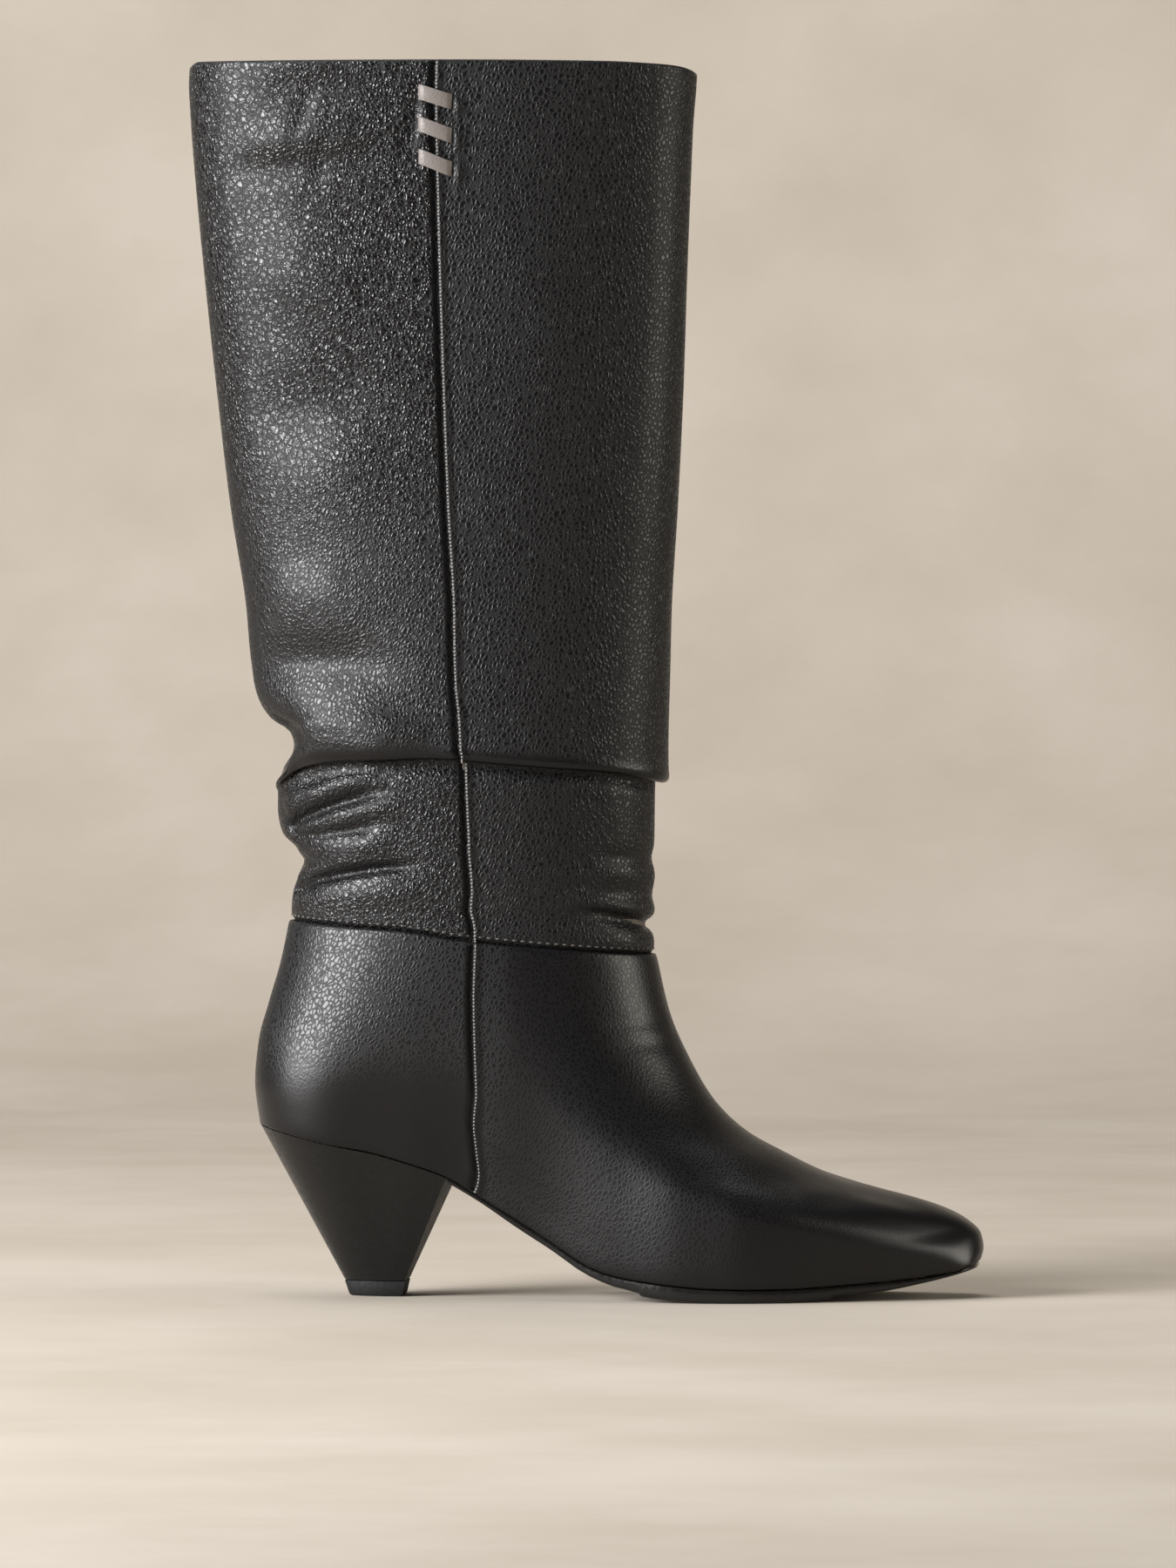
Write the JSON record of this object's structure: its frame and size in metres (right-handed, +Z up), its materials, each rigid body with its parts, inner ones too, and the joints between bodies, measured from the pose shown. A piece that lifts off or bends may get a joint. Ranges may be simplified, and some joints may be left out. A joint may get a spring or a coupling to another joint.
{
  "type": "slouch boot",
  "caption": "Right mid-calf boot with a slouched leather shaft folded over the ankle, a low covered cone heel, a thin sole and a thong laced through the outer side seam.",
  "frame": {"origin": "Middle of the boot's box, on the floor that the heel and the forefoot stand on", "axes": "+X from heel to toe, -Y towards the boot's outer side, +Z up"},
  "size_m": [0.2723, 0.082, 0.4228],
  "materials": {
    "foot_leather": "soft grained leather with a satin sheen",
    "shaft_leather": "soft pebbled leather with a satin sheen",
    "thong_leather": "smooth flat thong",
    "lining": "plain lining",
    "sole": "smooth edge, satin",
    "heel_cover": "grained leather cover with a satin sheen",
    "top_piece_rubber": "dense rubber"
  },
  "bodies": {
    "root": {"upper": "foot_leather", "shaft": "shaft_leather", "thong": "thong_leather", "insole": "lining", "outsole": "sole", "heel": "heel_cover", "top_piece": "top_piece_rubber"}
  },
  "joints": []
}
